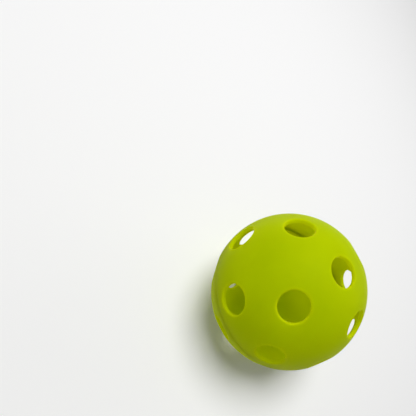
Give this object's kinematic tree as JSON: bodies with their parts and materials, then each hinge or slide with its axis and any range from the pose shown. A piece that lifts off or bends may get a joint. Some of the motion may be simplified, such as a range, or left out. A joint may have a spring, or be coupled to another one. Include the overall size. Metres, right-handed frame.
{
  "type": "pickleball ball",
  "caption": "Hollow perforated plastic ball moulded as half shells and welded round the equator, with rounded air holes on both poles and in rings about them.",
  "frame": {"origin": "centre of the ball", "axes": "+Z along the axis of both moulds, through the centres of the pole holes; the welded seam lies in the XY plane; X and Y pass through the upper half's ring of four holes"},
  "size_m": [0.074, 0.074, 0.0728],
  "materials": {
    "shell": "satin moulded polyethylene, lime green, faintly translucent",
    "weld": "melted and set seam of the same plastic, slightly glossier"
  },
  "bodies": {
    "root": {"shell_upper": "shell", "shell_lower": "shell", "weld_bead": "weld"}
  },
  "joints": []
}
